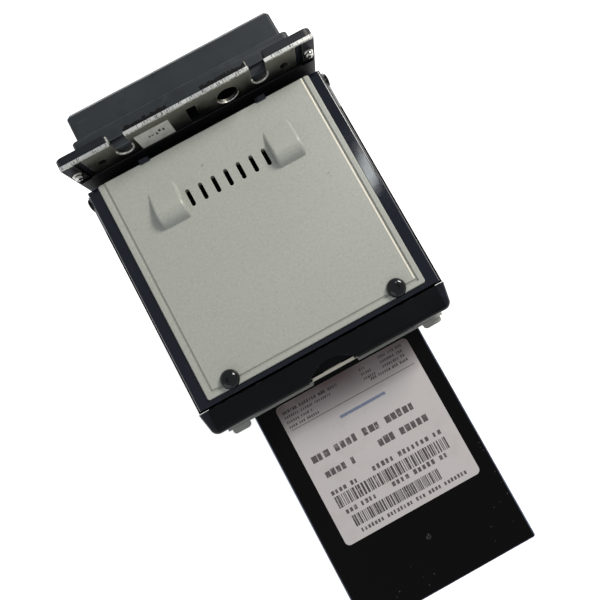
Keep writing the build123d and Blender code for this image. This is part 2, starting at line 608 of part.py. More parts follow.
def main():
    os.makedirs("parts", exist_ok=True)
    make_base_tray()
    make_side_plates()
    make_mount_bracket()
    make_bezel()
    make_bezel_trim()
    make_turn_housing()
    make_rear_cross_member()
    make_fixings()
    make_lower_guide()
    make_feed_drive()
    make_motors()
    make_stacker()
    make_electronics()
    make_lid()
    make_head_frame()
    make_upper_guide()
    make_latch()
    make_cassette_shell()
    make_side_door()
    make_cassette_inside()
    make_lock()
    make_handle()
    make_label()


main()
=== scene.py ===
import json
import math
import random

import bmesh
import bpy
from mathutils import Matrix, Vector


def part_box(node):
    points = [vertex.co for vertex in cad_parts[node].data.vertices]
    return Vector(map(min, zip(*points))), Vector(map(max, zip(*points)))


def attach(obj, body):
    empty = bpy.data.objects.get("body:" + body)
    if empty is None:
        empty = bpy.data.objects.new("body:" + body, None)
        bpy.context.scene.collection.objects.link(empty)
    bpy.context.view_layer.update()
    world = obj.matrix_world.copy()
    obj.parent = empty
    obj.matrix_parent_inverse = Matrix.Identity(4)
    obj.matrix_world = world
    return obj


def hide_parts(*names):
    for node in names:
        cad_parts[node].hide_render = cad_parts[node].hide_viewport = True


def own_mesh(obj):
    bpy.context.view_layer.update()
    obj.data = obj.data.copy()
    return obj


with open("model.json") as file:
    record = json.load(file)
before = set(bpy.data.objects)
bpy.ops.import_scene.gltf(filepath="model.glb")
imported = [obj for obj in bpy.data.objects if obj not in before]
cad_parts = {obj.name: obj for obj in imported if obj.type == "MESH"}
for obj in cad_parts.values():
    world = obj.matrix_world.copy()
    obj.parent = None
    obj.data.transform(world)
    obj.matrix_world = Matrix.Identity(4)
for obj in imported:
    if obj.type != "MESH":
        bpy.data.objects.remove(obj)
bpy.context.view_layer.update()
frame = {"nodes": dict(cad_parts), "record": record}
scene = bpy.context.scene
nodes = frame["nodes"]
MM = 0.001
X_AXIS, Y_AXIS, Z_AXIS = Vector((1, 0, 0)), Vector((0, 1, 0)), Vector((0, 0, 1))
BRACKET_REAR, BRACKET_FRONT = -116.8 * MM, -118.3 * MM  # the faces of the mounting bracket's plate
CASSETTE_TOP, CASSETTE_REAR, CASSETTE_HALF = 224.0 * MM, 146.5 * MM, 50 * MM


# ---- materials ----

def srgb(red, green, blue):
    """A screen colour from 0 to 255 as the linear colour that shaders take."""
    linear = []
    for value in (red, green, blue):
        v = value / 255
        linear.append(v / 12.92 if v <= 0.04045 else ((v + 0.055) / 1.055) ** 2.4)
    return (*linear, 1.0)


class Look:
    """Builds one node material round a Principled shader, in object coordinates."""

    def __init__(self, name, color, rough, metal=0.0, specular=0.5):
        self.material = bpy.data.materials.new(name)
        self.material.use_nodes = True
        self.tree = self.material.node_tree
        self.shader = self.tree.nodes["Principled BSDF"]
        self.shader.inputs["Metallic"].default_value = metal
        self.shader.inputs["Specular IOR Level"].default_value = specular
        self.shader.inputs["Roughness"].default_value = rough
        self.shader.inputs["Base Color"].default_value = color
        self.color = None
        self.base = color
        self.rough = rough
        self.place = self.node("ShaderNodeTexCoord").outputs["Object"]
        self.normal = None

    def node(self, kind, **settings):
        made = self.tree.nodes.new(kind)
        for key, value in settings.items():
            setattr(made, key, value)
        return made

    def link(self, source, target):
        self.tree.links.new(source, target)

    def stretched(self, stretch):
        mapping = self.node("ShaderNodeMapping")
        mapping.inputs["Scale"].default_value = stretch
        self.link(self.place, mapping.inputs["Vector"])
        return mapping.outputs["Vector"]

    def noise(self, scale, detail=4.0, stretch=None, distortion=0.0):
        made = self.node("ShaderNodeTexNoise")
        made.inputs["Scale"].default_value = scale
        made.inputs["Detail"].default_value = detail
        made.inputs["Roughness"].default_value = 0.55
        made.inputs["Distortion"].default_value = distortion
        self.link(self.stretched(stretch) if stretch else self.place, made.inputs["Vector"])
        return made.outputs["Fac"]

    def ramp(self, source, low, high, out_low=0.0, out_high=1.0):
        made = self.node("ShaderNodeMapRange")
        for key, value in (("From Min", low), ("From Max", high), ("To Min", out_low), ("To Max", out_high)):
            made.inputs[key].default_value = value
        self.link(source, made.inputs["Value"])
        return made.outputs["Result"]

    def maths(self, operation, first, second):
        made = self.node("ShaderNodeMath", operation=operation)
        self.link(first, made.inputs[0])
        self.link(second, made.inputs[1])
        return made.outputs["Value"]

    def tint(self, color, mask):
        """Mixes a colour in where the mask is high."""
        mix = self.node("ShaderNodeMix", data_type="RGBA")
        self.link(mask, mix.inputs["Factor"])
        if self.color is None:
            mix.inputs["A"].default_value = self.base
        else:
            self.link(self.color, mix.inputs["A"])
        mix.inputs["B"].default_value = color
        self.color = mix.outputs["Result"]
        self.link(self.color, self.shader.inputs["Base Color"])
        return self

    def mottle(self, scale, amount, detail=5.0):
        """Makes the colour a little darker and lighter in patches."""
        shade = [max(0.0, c * (1 - amount)) for c in self.base[:3]]
        light = [min(1.0, c * (1 + amount)) for c in self.base[:3]]
        field = self.noise(scale, detail)
        self.tint((*shade, 1), self.ramp(field, 0.48, 0.25))
        return self.tint((*light, 1), self.ramp(field, 0.52, 0.75))

    def gloss(self, scale, spread, stretch=None):
        """Varies the roughness about its middle value."""
        field = self.noise(scale, stretch=stretch)
        low, high = max(0.02, self.rough - spread), min(1.0, self.rough + spread)
        self.link(self.ramp(field, 0.3, 0.7, low, high), self.shader.inputs["Roughness"])
        return self

    def grain(self, scale, depth, strength=0.6, stretch=None):
        """Raises a fine relief, of the given depth in metres."""
        bump = self.node("ShaderNodeBump")
        bump.inputs["Strength"].default_value = strength
        bump.inputs["Distance"].default_value = depth
        self.link(self.noise(scale, 3.0, stretch=stretch), bump.inputs["Height"])
        if self.normal is not None:
            self.link(self.normal, bump.inputs["Normal"])
        self.normal = bump.outputs["Normal"]
        self.link(self.normal, self.shader.inputs["Normal"])
        return self

    def soft_edges(self, radius):
        """Rounds the shading over the corners."""
        bevel = self.node("ShaderNodeBevel", samples=4)
        bevel.inputs["Radius"].default_value = radius
        self.normal = bevel.outputs["Normal"]
        self.link(self.normal, self.shader.inputs["Normal"])
        return self

    def edge_mask(self, radius, scale, low=0.42, high=0.62):
        """High along the corners, broken up by noise."""
        bevel = self.node("ShaderNodeBevel", samples=6)
        bevel.inputs["Radius"].default_value = radius
        dot = self.node("ShaderNodeVectorMath", operation="DOT_PRODUCT")
        self.link(bevel.outputs["Normal"], dot.inputs[0])
        self.link(self.node("ShaderNodeNewGeometry").outputs["Normal"], dot.inputs[1])
        corner = self.ramp(dot.outputs["Value"], 0.995, 0.93)
        return self.maths("MULTIPLY", corner, self.ramp(self.noise(scale, 6.0), low, high))

    def facing_up(self, low=0.7, high=0.95):
        """Rises from 0 to 1 as the upward part of the surface's normal goes from low to high."""
        split = self.node("ShaderNodeSeparateXYZ")
        self.link(self.node("ShaderNodeNewGeometry").outputs["Normal"], split.inputs["Vector"])
        return self.ramp(split.outputs["Z"], low, high)

    def along(self, axis, low, high):
        """Rises from 0 to 1 between two coordinates in metres."""
        split = self.node("ShaderNodeSeparateXYZ")
        self.link(self.place, split.inputs["Vector"])
        return self.ramp(split.outputs[axis], low, high)

    def outside(self, half):
        """High further from the middle than the given half width."""
        far = half + 0.6 * MM
        return self.maths("ADD", self.along("X", half, far), self.along("X", -half, -far))


def lid_paint():
    look = Look("lid_paint", srgb(166, 168, 160), 0.34, specular=0.55)
    look.mottle(9, 0.05, detail=2.0).soft_edges(0.2 * MM)
    look.tint(srgb(143, 145, 137), look.ramp(look.noise(900, 2.0), 0.5, 0.72, 0.0, 0.4))
    look.tint(srgb(183, 184, 175), look.ramp(look.noise(760, 2.0), 0.54, 0.74, 0.0, 0.4))
    # Lighter cream along the corners, broken by noise: partly worn paint, partly a painted highlight on the
    # edges.
    look.tint(srgb(196, 191, 178), look.edge_mask(0.3 * MM, 120, 0.35, 0.7))
    look.tint(srgb(112, 110, 101), look.ramp(look.noise(310, 1.0), 0.77, 0.81, 0.0, 0.4))
    # Painted highlight: a pale cream band on the groove's slope on the -X side, the side toward the key lamp,
    # stopping 0.6 mm short of the rear.
    inner, outer, rear, blur = -52.8 * MM, -53.7 * MM, 0.6 * MM, 0.1 * MM
    lit_slope = look.maths("MULTIPLY", look.along("X", inner, inner - blur), look.along("X", outer, outer + blur))
    look.tint(srgb(232, 226, 210), look.maths("MULTIPLY", lit_slope, look.along("Y", rear + blur, rear)))
    return look.gloss(40, 0.04).grain(700, 0.06 * MM, 0.25)


def gloss_black():
    look = Look("gloss_black", srgb(13, 17, 29), 0.09, specular=0.4)
    look.soft_edges(0.4 * MM).gloss(90, 0.03)
    look.tint(srgb(46, 50, 58), look.ramp(look.noise(700, 4.0, stretch=(1, 0.15, 1)), 0.66, 0.82, 0.0, 0.5))
    look.tint(srgb(58, 62, 70), look.edge_mask(0.3 * MM, 240, 0.5, 0.66))
    return look.grain(420, 0.02 * MM, 0.25)


def satin_black():
    look = Look("satin_black", srgb(9, 10, 12), 0.3, specular=0.14)
    look.soft_edges(0.5 * MM).gloss(60, 0.07)
    look.tint(srgb(40, 42, 46), look.ramp(look.noise(900, 5.0), 0.64, 0.84, 0.0, 0.5))
    look.tint(srgb(64, 66, 70), look.edge_mask(0.4 * MM, 260, 0.5, 0.68))
    # Painted highlight: a bluish-grey sheen on the housing's ends, more than 60 mm from the middle, broken by
    # noise.
    ends = look.maths("MULTIPLY", look.outside(60 * MM), look.ramp(look.noise(120, 3.0), 0.3, 0.6, 0.3, 1.0))
    look.tint(srgb(26, 29, 36), ends)
    return look.grain(1300, 0.03 * MM, 0.3)


def bezel_plastic():
    look = Look("bezel_plastic", srgb(41, 46, 50), 0.46, specular=0.34)
    look.mottle(26, 0.26).soft_edges(0.6 * MM).gloss(50, 0.1)
    streaks = look.noise(260, 5.0, stretch=(0.05, 1, 1))
    look.tint(srgb(82, 88, 92), look.ramp(streaks, 0.56, 0.76, 0.0, 0.5))
    look.tint(srgb(26, 29, 32), look.ramp(look.noise(95, 4.0), 0.54, 0.72, 0.0, 0.6))
    look.tint(srgb(92, 98, 101), look.ramp(look.noise(55, 6.0, distortion=0.8), 0.6, 0.76, 0.0, 0.3))
    # Lighter along the corners, broken by noise: partly worn edges, partly a painted highlight along the
    # tiers' edges.
    look.tint(srgb(74, 80, 84), look.edge_mask(0.8 * MM, 150, 0.3, 0.6))
    # Painted shade: the flange bars behind the tier, more than 40 mm from the middle, are darkened to near
    # black in the gap in front of the bracket.
    flange_shade = look.along("Y", -122.8 * MM, -122.4 * MM)
    look.tint(srgb(17, 20, 28), look.maths("MULTIPLY", flange_shade, look.outside(40 * MM)))
    return look.grain(1100, 0.06 * MM, 0.45)


def guide_plastic():
    look = Look("guide_plastic", srgb(24, 24, 26), 0.48, specular=0.4)
    return look.mottle(45, 0.15).soft_edges(0.3 * MM).gloss(80, 0.08).grain(1500, 0.03 * MM)


def zinc_sheet():
    look = Look("zinc_sheet", srgb(150, 149, 142), 0.36, metal=1.0)
    look.mottle(70, 0.14).gloss(110, 0.1)
    look.tint(srgb(226, 225, 216), look.edge_mask(0.35 * MM, 420, 0.3, 0.5))
    # The upward-facing top edge above z 274 mm is near white: the bare cut edge, with a painted highlight on
    # it.
    top_edge = look.maths("MULTIPLY", look.facing_up(), look.along("Z", 274 * MM, 275 * MM))
    look.tint(srgb(240, 240, 236), top_edge)
    sheared = look.ramp(look.noise(1500, 3.0, stretch=(1, 0.2, 0.2)), 0.55, 0.64, 0.0, 0.85)
    look.tint(srgb(96, 94, 88), look.maths("MULTIPLY", look.facing_up(), sheared))
    look.tint(srgb(66, 62, 54), look.ramp(look.noise(240, 5.0), 0.66, 0.76, 0.0, 0.6))
    # Painted shade: the bracket's face darkens towards the bottom, from z 266 mm down to 259 mm.
    look.tint(srgb(34, 34, 36), look.along("Z", 266 * MM, 259 * MM))
    ears = look.maths("MULTIPLY", look.outside(58.2 * MM), look.along("Z", 276.4 * MM, 275.6 * MM))
    look.tint(srgb(24, 25, 32), ears)
    return look.grain(800, 0.04 * MM, 0.4)


def sheared_zinc():
    look = Look("sheared_zinc", srgb(208, 208, 201), 0.3, metal=0.4)
    look.tint(srgb(120, 118, 110), look.ramp(look.noise(1300, 4.0), 0.5, 0.66, 0.0, 0.8))
    return look.grain(1100, 0.06 * MM, 0.6)


def chassis_steel():
    look = Look("chassis_steel", srgb(160, 160, 155), 0.38, metal=1.0)
    look.mottle(35, 0.1).gloss(60, 0.09, stretch=(1, 1, 0.2))
    look.tint(srgb(96, 92, 84), look.ramp(look.noise(160, 5.0), 0.66, 0.8, 0.0, 0.5))
    return look.grain(900, 0.03 * MM, 0.35, stretch=(1, 1, 0.15))


def black_steel():
    look = Look("black_steel", srgb(9, 8, 9), 0.26, specular=0.09)
    look.soft_edges(0.35 * MM).gloss(70, 0.04)
    # Painted reflection: a bluish-grey line on the tilted faces of the cassette's rounded top edges, between
    # z 222.2 and 223 mm, broken by noise.
    tilted = look.maths("MULTIPLY", look.facing_up(0.98, 0.75), look.facing_up(0.12, 0.35))
    sheen_band = look.maths("MULTIPLY", look.along("Z", 222.2 * MM, 223 * MM), tilted)
    broken = look.ramp(look.noise(30, 4.0), 0.3, 0.6, 0.25, 1.0)
    look.tint(srgb(112, 120, 142), look.maths("MULTIPLY", sheen_band, broken))
    dust = look.ramp(look.noise(1500, 3.0), 0.7, 0.78, 0.0, 0.3)
    patches = look.ramp(look.noise(22, 3.0), 0.48, 0.62)
    look.tint(srgb(78, 76, 74), look.maths("MULTIPLY", dust, patches))
    scratches = look.ramp(look.noise(900, 2.0, stretch=(0.05, 1, 1), distortion=0.6), 0.74, 0.78, 0.0, 0.5)
    look.tint(srgb(90, 88, 86), look.maths("MULTIPLY", scratches, patches))
    look.tint(srgb(84, 82, 80), look.edge_mask(0.4 * MM, 200, 0.55, 0.66))
    worn = look.maths("MULTIPLY", look.outside(64.2 * MM), look.along("Y", -90 * MM, -91 * MM))
    look.tint(srgb(170, 171, 172), look.maths("MULTIPLY", worn, look.facing_up()))
    return look.grain(1400, 0.035 * MM, 0.35)


def grey_paint():
    look = Look("grey_paint", srgb(156, 156, 150), 0.4, specular=0.4)
    look.mottle(120, 0.08).soft_edges(0.2 * MM)
    look.tint(srgb(196, 194, 184), look.edge_mask(0.3 * MM, 300, 0.35, 0.6))
    return look.grain(1400, 0.03 * MM)


def bright_metal(name, color, rough, scale=500):
    look = Look(name, color, rough, metal=1.0)
    look.mottle(scale, 0.08).gloss(scale / 2, rough * 0.4)
    look.tint(srgb(70, 66, 60), look.ramp(look.noise(scale * 0.8, 4.0), 0.7, 0.82, 0.0, 0.6))
    return look.grain(1500, 0.015 * MM, 0.3)


def turned_metal(name, color, rough):
    """Fine lines run round an axis that lies across the width."""
    look = Look(name, color, rough, metal=1.0).gloss(1800, rough * 0.3, stretch=(1, 0.05, 0.05))
    return look.grain(2500, 0.01 * MM, 0.4, stretch=(1, 0.04, 0.04))


def rubber():
    look = Look("roller_rubber", srgb(62, 62, 64), 0.8, specular=0.25)
    return look.mottle(300, 0.12).grain(2200, 0.06 * MM, 0.6)


def belt_rubber():
    look = Look("belt_rubber", srgb(28, 28, 29), 0.7, specular=0.3)
    return look.mottle(200, 0.15).grain(900, 0.08 * MM, 0.6, stretch=(0.1, 1, 1))


def nylon():
    look = Look("gear_nylon", srgb(222, 218, 205), 0.45, specular=0.4)
    look.shader.inputs["Subsurface Weight"].default_value = 0.15
    look.shader.inputs["Subsurface Radius"].default_value = (0.003, 0.002, 0.0015)
    look.tint(srgb(150, 140, 118), look.ramp(look.noise(350, 5.0), 0.6, 0.8, 0.0, 0.4))
    return look.grain(1200, 0.02 * MM)


def circuit_board():
    look = Look("circuit_board", srgb(22, 82, 46), 0.35, specular=0.5)
    grid = look.node("ShaderNodeTexBrick", offset=0.5)
    grid.inputs["Scale"].default_value = 180
    grid.inputs["Mortar Size"].default_value = 0.02
    look.link(look.place, grid.inputs["Vector"])
    look.tint(srgb(48, 120, 70), grid.outputs["Fac"])
    return look.mottle(90, 0.1).grain(1200, 0.02 * MM)


def ivory_plastic():
    look = Look("connector_plastic", srgb(214, 208, 190), 0.42, specular=0.45)
    return look.mottle(80, 0.05).soft_edges(0.2 * MM).grain(1300, 0.02 * MM)


def clear_plastic(name, color, rough):
    look = Look(name, color, rough, specular=0.5)
    look.shader.inputs["Transmission Weight"].default_value = 0.85
    look.shader.inputs["IOR"].default_value = 1.49
    return look.mottle(200, 0.06).gloss(300, rough * 0.4).grain(900, 0.02 * MM, 0.3)


def label_paper():
    look = Look("label_paper", srgb(190, 185, 184), 0.4, specular=0.3)
    low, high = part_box("cassette_label")
    depth = high.y - low.y
    # Painted shade: a pinkish-brown tint over the end of the label nearest the turn housing, fading out over
    # a quarter of its depth and broken by noise.
    bar_shade = look.along("Y", low.y + 0.24 * depth, low.y + 0.02 * depth)
    broken = look.maths("MULTIPLY", bar_shade, look.ramp(look.noise(14, 2.0), 0.25, 0.6, 0.55, 1.0))
    look.tint(srgb(92, 72, 72), broken)
    look.tint(srgb(168, 160, 156), look.ramp(look.noise(60, 4.0), 0.55, 0.8, 0.0, 0.5))
    look.tint(srgb(120, 104, 98), look.ramp(look.noise(380, 5.0), 0.7, 0.82, 0.0, 0.45))
    return look.grain(160, 0.05 * MM, 0.2)


def printed(name, color, wear=0.55):
    """Ink that is worn through in places."""
    look = Look(name, color, 0.45, specular=0.3)
    look.tint(srgb(176, 170, 168), look.ramp(look.noise(520, 5.0), 0.56, 0.74, 0.0, wear))
    return look.grain(900, 0.01 * MM, 0.2)


def sticker_paper():
    look = Look("sticker_paper", srgb(214, 212, 203), 0.6, specular=0.25)
    look.tint(srgb(150, 146, 134), look.ramp(look.noise(260, 5.0), 0.5, 0.8, 0.0, 0.6))
    return look.grain(900, 0.03 * MM, 0.4)


def black_screw():
    return Look("black_screw", srgb(5, 6, 7), 0.1, specular=0.5).gloss(500, 0.04).grain(1500, 0.01 * MM)


LOOKS = {
    "lid_paint": lid_paint(),
    "gloss_black": gloss_black(),
    "satin_black": satin_black(),
    "bezel_plastic": bezel_plastic(),
    "guide_plastic": guide_plastic(),
    "zinc_sheet": zinc_sheet(),
    "chassis_steel": chassis_steel(),
    "black_steel": black_steel(),
    "grey_paint": grey_paint(),
    "latch_steel": bright_metal("latch_steel", srgb(226, 218, 202), 0.3),
    "bright_screw": bright_metal("bright_screw", srgb(206, 204, 198), 0.16, 900),
    "black_screw": black_screw(),
    "shaft_steel": turned_metal("shaft_steel", srgb(196, 196, 194), 0.24),
    "spring_steel": bright_metal("spring_steel", srgb(186, 184, 178), 0.25, 700),
    "bearing_brass": turned_metal("bearing_brass", srgb(206, 174, 108), 0.28),
    "motor_steel": bright_metal("motor_steel", srgb(176, 176, 170), 0.34, 300),
    "lock_chrome": bright_metal("lock_chrome", srgb(214, 214, 214), 0.1, 600),
    "light_guide": clear_plastic("light_guide", srgb(222, 236, 238), 0.35),
    "clear_window": clear_plastic("clear_window", srgb(190, 96, 92), 0.12),
    "circuit_board": circuit_board(),
    "belt_rubber": belt_rubber(),
    "roller_rubber": rubber(),
    "gear_nylon": nylon(),
    "connector_plastic": ivory_plastic(),
    "label_paper": label_paper(),
    "sticker_paper": sticker_paper(),
    "ink": printed("ink", srgb(74, 66, 68)),
    "grey_ink": printed("grey_ink", srgb(88, 80, 82), 0.75),
    "pale_ink": printed("pale_ink", srgb(118, 126, 148), 0.8),
    "recess_black": Look("recess_black", srgb(8, 8, 8), 0.6, specular=0.2).grain(900, 0.02 * MM),
    "sheared_zinc": sheared_zinc(),
    "bare_metal": bright_metal("bare_metal", srgb(112, 110, 106), 0.4, 900),
}
# Nodes whose look isn't the one that their material slot names.
OTHER_LOOKS = {"turn_housing": "satin_black", "pinch_axles": "recess_black"}


def dress_cad_nodes():
    slots = {part["node"]: part["material_slot"] for part in frame["record"]["subparts"]}
    for name, obj in nodes.items():
        look = LOOKS[OTHER_LOOKS.get(name, slots[name])]
        obj.data.materials.clear()
        obj.data.materials.append(look.material)


# ---- mesh helpers ----

SMOOTH_BELOW = math.radians(35)


def finish_piece(name, mesh_data, look, body):
    """Turns a bmesh into a piece with smooth shading that breaks at sharp corners."""
    bmesh.ops.recalc_face_normals(mesh_data, faces=mesh_data.faces)
    mesh = bpy.data.meshes.new(name)
    mesh_data.to_mesh(mesh)
    mesh_data.free()
    mesh.shade_smooth()
    mesh.set_sharp_from_angle(angle=SMOOTH_BELOW)
    obj = bpy.data.objects.new(name, mesh)
    scene.collection.objects.link(obj)
    mesh.materials.append(LOOKS[look].material)
    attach(obj, body)
    return obj


def add_block(target, low, high):
    corners = [target.verts.new((x, y, z)) for x in (low[0], high[0]) for y in (low[1], high[1])
               for z in (low[2], high[2])]
    for a, b, c, d in ((0, 1, 3, 2), (4, 6, 7, 5), (0, 4, 5, 1), (2, 3, 7, 6), (0, 2, 6, 4), (1, 5, 7, 3)):
        target.faces.new([corners[i] for i in (a, b, c, d)])


def across_of(direction):
    """Two directions at right angles to the given one."""
    helper = X_AXIS if abs(direction.x) < 0.8 else Y_AXIS
    first = direction.cross(helper).normalized()
    return first, direction.cross(first).normalized()


def add_lathe(target, centre, axis, profile, sides):
    """Revolves (radius, height) points about an axis through centre. A radius of 0 closes the form."""
    centre, axis = Vector(centre), Vector(axis).normalized()
    first, second = across_of(axis)
    rings = []
    for radius, height in profile:
        middle = centre + axis * height
        if radius == 0:
            rings.append([target.verts.new(middle)])
            continue
        ring = []
        for k in range(sides):
            turn = 2 * math.pi * k / sides
            ring.append(target.verts.new(
                middle + first * radius * math.cos(turn) + second * radius * math.sin(turn)))
        rings.append(ring)
    for low, high in zip(rings, rings[1:]):
        for k in range(sides):
            n = (k + 1) % sides
            if len(low) == 1 and len(high) > 1:
                target.faces.new((low[0], high[k], high[n]))
            elif len(high) == 1 and len(low) > 1:
                target.faces.new((low[k], low[n], high[0]))
            elif len(low) > 1:
                target.faces.new((low[k], low[n], high[n], high[k]))


def add_tube(target, points, radius, sides=10):
    """Sweeps a circle along points and closes both ends."""
    points = [Vector(p) for p in points]
    rings = []
    side = None
    for k, point in enumerate(points):
        before = points[max(k - 1, 0)]
        after = points[min(k + 1, len(points) - 1)]
        along = (after - before).normalized()
        if side is None:
            side = across_of(along)[0]
        side = (side - along * side.dot(along)).normalized()
        up = along.cross(side)
        rings.append([target.verts.new(point + (side * math.cos(2 * math.pi * j / sides)
                                                + up * math.sin(2 * math.pi * j / sides)) * radius)
                      for j in range(sides)])
    for low, high in zip(rings, rings[1:]):
        for j in range(sides):
            n = (j + 1) % sides
            target.faces.new((low[j], low[n], high[n], high[j]))
    target.faces.new(list(reversed(rings[0])))
    target.faces.new(rings[-1])


def helix(centre, axis, radius, length, turns):
    """Points of a coil that starts at centre, with flat turns at both ends."""
    centre, axis = Vector(centre), Vector(axis).normalized()
    first, second = across_of(axis)
    points, steps = [], 20
    for k in range(turns * steps + 1):
        turn = k / steps
        share = min(max((turn - 0.9) / (turns - 1.8), 0.0), 1.0)
        angle = 2 * math.pi * turn
        points.append(centre + axis * length * share + first * radius * math.cos(angle)
                      + second * radius * math.sin(angle))
    return points


# ---- label on the cassette ----

INK_THICK = 0.03 * MM


class Print:
    """Draws flat ink on the label, with u from 0 to 1 across it and v from 0 to 1 down it."""

    def __init__(self):
        self.low, self.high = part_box("cassette_label")
        self.width, self.depth = self.high.x - self.low.x, self.high.y - self.low.y
        self.top = self.high.z
        self.ink = bmesh.new()

    def bar(self, u, v):
        add_block(self.ink,
                  (self.high.x - u[1] * self.width, self.low.y + v[0] * self.depth, self.top - INK_THICK),
                  (self.high.x - u[0] * self.width, self.low.y + v[1] * self.depth, self.top + INK_THICK))

    def words(self, u, v, height, pitch, rng, fill=0.62):
        """A row of plain blocks that stands for a line of text, with gaps between its words."""
        at, left = u[0], rng.randint(3, 8)
        while at + pitch < u[1]:
            if left == 0:
                at, left = at + pitch * 0.8, rng.randint(3, 8)
                continue
            wide = pitch * fill * rng.choice((0.75, 0.9, 1.0, 1.1))
            rise = rng.choice((0.0, 0.0, 0.12)) * height
            self.bar((at, at + wide), (v - height / 2 - rise, v + height / 2))
            at, left = at + pitch, left - 1

    def stripes(self, u, v, rng):
        at = u[0]
        module = (u[1] - u[0]) / 170
        while at < u[1] - 4 * module:
            wide = module * rng.choice((1, 1, 2, 3))
            self.bar((at, at + wide), v)
            at += wide + module * rng.choice((1, 1, 2, 2))


def make_label_print():
    rng = random.Random(11)
    sheet = Print()
    for row, u_end in enumerate((0.45, 0.39, 0.24, 0.27)):
        bold = row == 0
        sheet.words((0.032, u_end), 0.055 + 0.034 * row, 0.02 if bold else 0.015,
                    0.0185 if bold else 0.0155, rng, 0.8 if bold else 0.6)
    for row, (u_start, u_end) in enumerate(((0.77, 0.95), (0.77, 0.95), (0.77, 0.95), (0.66, 0.95))):
        sheet.words((u_start, u_end), 0.032 + 0.034 * row, 0.016, 0.0155, rng, 0.65)
        if row < 3:
            sheet.words((0.62, 0.68 + 0.02 * row), 0.045 + 0.034 * row, 0.015, 0.0155, rng, 0.6)
    sheet.bar((0.035, 0.965), (0.178, 0.182))
    sheet.stripes((0.073, 0.92), (0.687, 0.768), rng)
    sheet.stripes((0.117, 0.775), (0.843, 0.918), rng)
    finish_piece("label_print", sheet.ink, "ink", "cassette")
    lines = Print()
    lines.words((0.06, 0.84), 0.415, 0.046, 0.0445, rng, 0.8)
    lines.words((0.095, 0.345), 0.54, 0.04, 0.04, rng, 0.76)
    lines.words((0.5, 0.91), 0.525, 0.046, 0.0425, rng, 0.8)
    lines.words((0.07, 0.29), 0.66, 0.027, 0.03, rng, 0.62)
    lines.words((0.385, 0.93), 0.648, 0.03, 0.0335, rng, 0.62)
    lines.words((0.1, 0.36), 0.806, 0.027, 0.03, rng, 0.62)
    lines.words((0.45, 0.88), 0.796, 0.03, 0.0335, rng, 0.62)
    lines.words((0.135, 0.93), 0.953, 0.023, 0.0245, rng, 0.6)
    finish_piece("label_lines", lines.ink, "grey_ink", "cassette")
    pale = Print()
    pale.bar((0.36, 0.7), (0.245, 0.265))
    finish_piece("label_stripe", pale.ink, "pale_ink", "cassette")


# ---- pieces on the mounting bracket ----

def make_bracket_sticker():
    sticker = bmesh.new()
    x_low, x_high, z_low, z_high = 11.7 * MM, 29.3 * MM, 259.5 * MM, 273 * MM
    add_block(sticker, (x_low, BRACKET_REAR - 0.02 * MM, z_low), (x_high, BRACKET_REAR + 0.12 * MM, z_high))
    corners = [e for e in sticker.edges if abs((e.verts[0].co - e.verts[1].co).y) > 1e-5]
    bmesh.ops.bevel(sticker, geom=corners, offset=0.2 * MM, segments=2, affect="EDGES")
    finish_piece("bracket_sticker", sticker, "sticker_paper", "chassis")
    rng = random.Random(5)
    marks = bmesh.new()
    for k in range(5):
        x, z = x_low + (3.5 + 1.9 * k) * MM, z_low + (7.2 + rng.uniform(-0.8, 0.8)) * MM
        x_end, z_end = x + rng.uniform(0.5, 1.3) * MM, z + rng.uniform(0.7, 2.2) * MM
        add_block(marks, (x, BRACKET_REAR + 0.1 * MM, z), (x_end, BRACKET_REAR + 0.14 * MM, z_end))
    finish_piece("sticker_marks", marks, "ink", "chassis")


def arc_points(centre, radius, start, end, steps, y):
    """Points of an arc in a plane across the depth, with angles in degrees from +X."""
    points = []
    for k in range(steps + 1):
        turn = math.radians(start + (end - start) * k / steps)
        points.append((centre[0] + radius * math.cos(turn), y, centre[1] + radius * math.sin(turn)))
    return points


def make_bracket_rims():
    """Rolled edges of the notches and of the large hole, on the bracket's rear face."""
    notch_x, notch_z, notch_radius = 35.6 * MM, 268.5 * MM, 4.2 * MM
    hole_x, hole_z, hole_radius = -18.2 * MM, 267.4 * MM, 5.6 * MM
    rims = bmesh.new()
    for x in (-notch_x, notch_x):
        notch = arc_points((x, notch_z), notch_radius, 172, 368, 20, BRACKET_REAR + 0.15 * MM)
        add_tube(rims, notch, 0.5 * MM)
    hole = arc_points((hole_x, hole_z), hole_radius, 195, 345, 24, BRACKET_REAR + 0.1 * MM)
    add_tube(rims, hole, 0.3 * MM)
    finish_piece("bracket_rims", rims, "sheared_zinc", "chassis")


def make_sheared_edges():
    """The torn bright lip that shearing leaves along the bracket's upper edges."""
    rng = random.Random(3)
    lips = bmesh.new()
    for start, end, top in ((-31.4, 31.4, 278.4), (-63.8, -39.8, 277.2), (39.8, 63.8, 277.2)):
        x = start
        while x < end:
            wide = rng.uniform(0.35, 0.9)
            deep = rng.uniform(0.25, 1.0)
            add_block(lips, (x * MM, BRACKET_REAR - 0.1 * MM, (top - deep) * MM),
                      (min(x + wide, end) * MM, BRACKET_REAR + rng.uniform(0.12, 0.32) * MM, top * MM))
            x += wide
    finish_piece("sheared_edges", lips, "sheared_zinc", "chassis")


def make_bracket_gap_shade():
    """Painted shade: ragged black blocks in the gap in front of the bracket's top edge, between the bezel and
    the bracket.
    """
    rng = random.Random(8)
    shade_blocks = bmesh.new()
    for start, end in ((-31.0, -8.0), (9.0, 31.0)):
        x = start
        while x < end:
            wide = rng.uniform(0.5, 1.6)
            add_block(shade_blocks, (x * MM, BRACKET_FRONT - rng.uniform(1.4, 2.6) * MM, 276 * MM),
                      (min(x + wide, end) * MM, BRACKET_FRONT + 0.05 * MM, 278.4 * MM))
            x += wide
    finish_piece("bracket_gap_shade", shade_blocks, "recess_black", "chassis")


